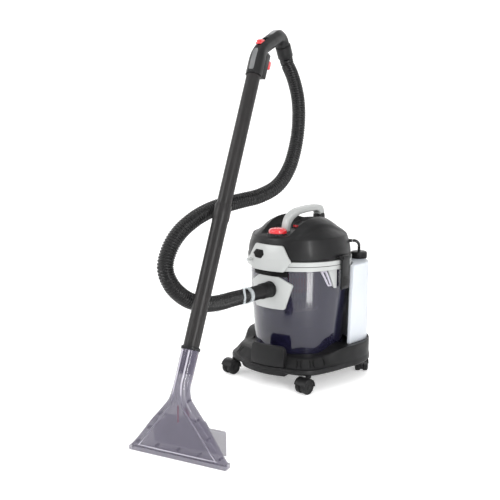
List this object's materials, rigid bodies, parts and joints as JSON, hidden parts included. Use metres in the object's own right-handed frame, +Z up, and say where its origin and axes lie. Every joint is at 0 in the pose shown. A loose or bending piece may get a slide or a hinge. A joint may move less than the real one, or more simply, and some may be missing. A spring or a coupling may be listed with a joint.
{
  "type": "carpet cleaner machine",
  "caption": "Drum carpet washer on a caster dolly, with clear waste drum, rear clean water tank, lift-off motor head, corrugated suction hose and a wand with a spray and suction nozzle.",
  "frame": {"origin": "on the floor, under the middle of the machine and wand together, the free hoses left out", "axes": "+Z up; -Y is the machine's front, where the hose plugs in; +X is to the right of someone who faces +Y"},
  "size_m": [0.5188, 0.993, 1.0532],
  "materials": {
    "black_plastic": "satin moulded",
    "grey_plastic": "satin moulded",
    "red_plastic": "gloss moulded",
    "smoked_plastic": "clear smoked",
    "white_plastic": "translucent blow moulded",
    "nozzle_plastic": "clear smoked",
    "hose_plastic": "corrugated",
    "clear_vinyl": "clear",
    "steel": "turned",
    "copper_winding": "wound",
    "filter_mesh": "moulded mesh"
  },
  "bodies": {
    "machine": {"dolly_base": "black_plastic", "front_plate": "black_plastic", "waste_drum": "smoked_plastic", "drum_collar": "grey_plastic", "inlet_panel": "grey_plastic", "inlet_socket": "black_plastic", "suction_hose": "hose_plastic", "spray_hose": "clear_vinyl", "spray_clip": "black_plastic"},
    "inlet_cuff": {"inlet_cuff": "black_plastic"},
    "head": {"head_cover": "black_plastic", "head_tray": "black_plastic", "head_panel": "grey_plastic", "spray_port": "black_plastic", "spray_outlet": "grey_plastic", "carry_handle": "grey_plastic", "motor_housing": "black_plastic", "motor_stator": "copper_winding", "pump_unit": "black_plastic", "filter_cage": "filter_mesh", "latch_pin_right": "black_plastic", "latch_pin_left": "black_plastic", "pickup_spigot": "black_plastic"},
    "rotor": {"motor_armature": "steel", "impeller": "steel"},
    "float_cup": {"float_cup": "red_plastic"},
    "power_button": {"power_button": "red_plastic"},
    "pump_switch": {"pump_switch": "red_plastic"},
    "latch_right": {"latch_right": "black_plastic"},
    "latch_left": {"latch_left": "black_plastic"},
    "tank": {"clean_tank": "white_plastic", "pickup_tube": "black_plastic"},
    "tank_cap": {"tank_cap": "black_plastic"},
    "wand": {"nozzle_shell": "nozzle_plastic", "nozzle_lip": "nozzle_plastic", "spray_guard": "nozzle_plastic", "spray_jet": "red_plastic", "spray_line": "clear_vinyl", "lower_tube": "black_plastic", "upper_tube": "black_plastic", "handle_grip": "black_plastic", "valve_box": "black_plastic"},
    "spray_trigger": {"spray_trigger": "red_plastic"},
    "suction_slider": {"suction_slider": "red_plastic"},
    "nozzle_latch": {"nozzle_latch": "red_plastic"},
    "lower_tube_button": {"lower_tube_button": "black_plastic"},
    "upper_tube_button": {"upper_tube_button": "black_plastic"},
    "handle_cuff": {"handle_cuff": "black_plastic"},
    "caster_front_right": {"caster_front_right": "black_plastic"},
    "wheel_front_right_a": {"wheel_front_right_a": "black_plastic"},
    "wheel_front_right_b": {"wheel_front_right_b": "black_plastic"},
    "caster_front_left": {"caster_front_left": "black_plastic"},
    "wheel_front_left_a": {"wheel_front_left_a": "black_plastic"},
    "wheel_front_left_b": {"wheel_front_left_b": "black_plastic"},
    "caster_rear_right": {"caster_rear_right": "black_plastic"},
    "wheel_rear_right_a": {"wheel_rear_right_a": "black_plastic"},
    "wheel_rear_right_b": {"wheel_rear_right_b": "black_plastic"},
    "caster_rear_left": {"caster_rear_left": "black_plastic"},
    "wheel_rear_left_a": {"wheel_rear_left_a": "black_plastic"},
    "wheel_rear_left_b": {"wheel_rear_left_b": "black_plastic"}
  },
  "joints": [
    {"name": "head_lift", "type": "slide", "parent": "machine", "child": "head", "axis": [0, 0, 1], "range_m": [0, 0.2], "deforming": ["spray_hose"]},
    {"name": "motor_spin", "type": "hinge", "parent": "head", "child": "rotor", "pos_m": [-0.053, 0.26946, 0.42], "axis": [0, 0, 1], "continuous": true},
    {"name": "float_rise", "type": "slide", "parent": "head", "child": "float_cup", "axis": [0, 0, 1], "range_m": [0, 0.05]},
    {"name": "power_press", "type": "slide", "parent": "head", "child": "power_button", "axis": [0, 0, -1], "range_m": [0, 0.003], "stiffness_N_per_m": 800, "springref_m": -0.002},
    {"name": "pump_rocker", "type": "hinge", "parent": "head", "child": "pump_switch", "pos_m": [-0.053, 0.25546, 0.466], "axis": [1, 0, 0], "range_deg": [0, 6]},
    {"name": "latch_right_open", "type": "hinge", "parent": "head", "child": "latch_right", "pos_m": [0.12, 0.26946, 0.394], "axis": [0, -1, 0], "range_deg": [0, 100]},
    {"name": "latch_left_open", "type": "hinge", "parent": "head", "child": "latch_left", "pos_m": [-0.226, 0.26946, 0.394], "axis": [0, 1, 0], "range_deg": [0, 100]},
    {"name": "tank_lift", "type": "slide", "parent": "machine", "child": "tank", "axis": [0, 0, 1], "range_m": [0, 0.28]},
    {"name": "cap_turn", "type": "hinge", "parent": "tank", "child": "tank_cap", "pos_m": [0.07097, 0.42255, 0.376], "axis": [0, 0, 1], "continuous": true},
    {"name": "cuff_turn", "type": "hinge", "parent": "machine", "child": "inlet_cuff", "pos_m": [-0.045, 0.06946, 0.298], "axis": [0, -1, 0], "continuous": true},
    {"name": "wand_tilt", "type": "hinge", "parent": "machine", "child": "wand", "pos_m": [0.1246, -0.46474, 0], "axis": [0.9749, 0.2227, 0], "range_deg": [0, 22], "deforming": ["suction_hose"]},
    {"name": "trigger_press", "type": "slide", "parent": "wand", "child": "spray_trigger", "axis": [0.1985, -0.8686, 0.454], "range_m": [0, 0.006], "stiffness_N_per_m": 300, "springref_m": -0.002},
    {"name": "slider_travel", "type": "slide", "parent": "wand", "child": "suction_slider", "axis": [-0.2077, 0.9089, 0.3616], "range_m": [0, 0.014]},
    {"name": "nozzle_latch_press", "type": "slide", "parent": "wand", "child": "nozzle_latch", "axis": [0.1985, -0.8686, 0.454], "range_m": [0, 0.002], "stiffness_N_per_m": 400, "springref_m": -0.001},
    {"name": "lower_button_press", "type": "slide", "parent": "wand", "child": "lower_tube_button", "axis": [0.1985, -0.8686, 0.454], "range_m": [0, 0.002], "stiffness_N_per_m": 400, "springref_m": -0.001},
    {"name": "upper_button_press", "type": "slide", "parent": "wand", "child": "upper_tube_button", "axis": [0.1985, -0.8686, 0.454], "range_m": [0, 0.002], "stiffness_N_per_m": 400, "springref_m": -0.001},
    {"name": "handle_cuff_turn", "type": "hinge", "parent": "wand", "child": "handle_cuff", "pos_m": [-0.0086, 0.11823, 1.014], "axis": [-0.1235, 0.5406, -0.8322], "continuous": true},
    {"name": "swivel_front_right", "type": "hinge", "parent": "machine", "child": "caster_front_right", "pos_m": [0.092, 0.12446, 0.05], "axis": [0, 0, 1], "continuous": true},
    {"name": "roll_front_right_a", "type": "hinge", "parent": "caster_front_right", "child": "wheel_front_right_a", "pos_m": [0.09043, 0.10652, 0.0225], "axis": [0.9962, -0.0872, 0], "continuous": true},
    {"name": "roll_front_right_b", "type": "hinge", "parent": "caster_front_right", "child": "wheel_front_right_b", "pos_m": [0.09043, 0.10652, 0.0225], "axis": [0.9962, -0.0872, 0], "continuous": true},
    {"name": "swivel_front_left", "type": "hinge", "parent": "machine", "child": "caster_front_left", "pos_m": [-0.198, 0.12446, 0.05], "axis": [0, 0, 1], "continuous": true},
    {"name": "roll_front_left_a", "type": "hinge", "parent": "caster_front_left", "child": "wheel_front_left_a", "pos_m": [-0.19957, 0.10652, 0.0225], "axis": [0.9962, -0.0872, 0], "continuous": true},
    {"name": "roll_front_left_b", "type": "hinge", "parent": "caster_front_left", "child": "wheel_front_left_b", "pos_m": [-0.19957, 0.10652, 0.0225], "axis": [0.9962, -0.0872, 0], "continuous": true},
    {"name": "swivel_rear_right", "type": "hinge", "parent": "machine", "child": "caster_rear_right", "pos_m": [0.092, 0.41446, 0.05], "axis": [0, 0, 1], "continuous": true},
    {"name": "roll_rear_right_a", "type": "hinge", "parent": "caster_rear_right", "child": "wheel_rear_right_a", "pos_m": [0.10357, 0.40067, 0.0225], "axis": [0.766, 0.6428, 0], "continuous": true},
    {"name": "roll_rear_right_b", "type": "hinge", "parent": "caster_rear_right", "child": "wheel_rear_right_b", "pos_m": [0.10357, 0.40067, 0.0225], "axis": [0.766, 0.6428, 0], "continuous": true},
    {"name": "swivel_rear_left", "type": "hinge", "parent": "machine", "child": "caster_rear_left", "pos_m": [-0.198, 0.41446, 0.05], "axis": [0, 0, 1], "continuous": true},
    {"name": "roll_rear_left_a", "type": "hinge", "parent": "caster_rear_left", "child": "wheel_rear_left_a", "pos_m": [-0.19184, 0.39754, 0.0225], "axis": [0.9397, 0.342, 0], "continuous": true},
    {"name": "roll_rear_left_b", "type": "hinge", "parent": "caster_rear_left", "child": "wheel_rear_left_b", "pos_m": [-0.19184, 0.39754, 0.0225], "axis": [0.9397, 0.342, 0], "continuous": true}
  ]
}
